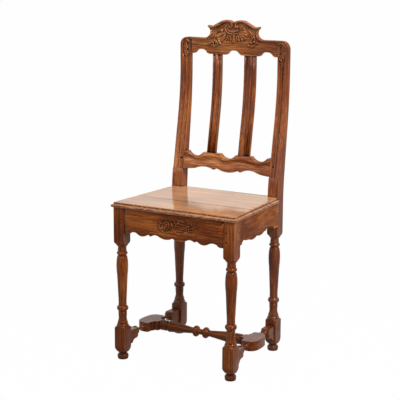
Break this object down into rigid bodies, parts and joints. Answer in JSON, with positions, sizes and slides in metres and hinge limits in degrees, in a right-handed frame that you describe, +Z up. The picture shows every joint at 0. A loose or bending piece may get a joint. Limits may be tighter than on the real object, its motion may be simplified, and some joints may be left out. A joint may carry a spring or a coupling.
{
  "type": "side chair",
  "caption": "Carved oak side chair with turned and squared legs, two upright slats, shaped aprons and an H stretcher",
  "frame": {"origin": "On the floor under the middle of the chair's overall box", "axes": "+Z is up, -Y is the front of the seat, +X is to the right as seen from the front"},
  "size_m": [0.4164, 0.372, 0.9973],
  "materials": {
    "oak": "waxed",
    "oak_peg": "waxed"
  },
  "bodies": {
    "root": {"front_leg_left": "oak", "front_leg_right": "oak", "rear_leg_left": "oak", "rear_leg_right": "oak", "front_apron": "oak", "left_side_apron": "oak", "right_side_apron": "oak", "rear_apron": "oak", "seat_board_front": "oak", "seat_board_rear": "oak", "crest_rail": "oak", "lower_back_rail": "oak", "left_slat": "oak", "right_slat": "oak", "left_side_stretcher": "oak", "right_side_stretcher": "oak", "cross_stretcher": "oak", "front_apron_pegs": "oak_peg", "side_apron_pegs": "oak_peg", "rear_apron_pegs": "oak_peg", "crest_rail_pegs": "oak_peg", "lower_rail_pegs": "oak_peg", "stretcher_pegs": "oak_peg", "seat_pegs": "oak_peg"}
  },
  "joints": []
}
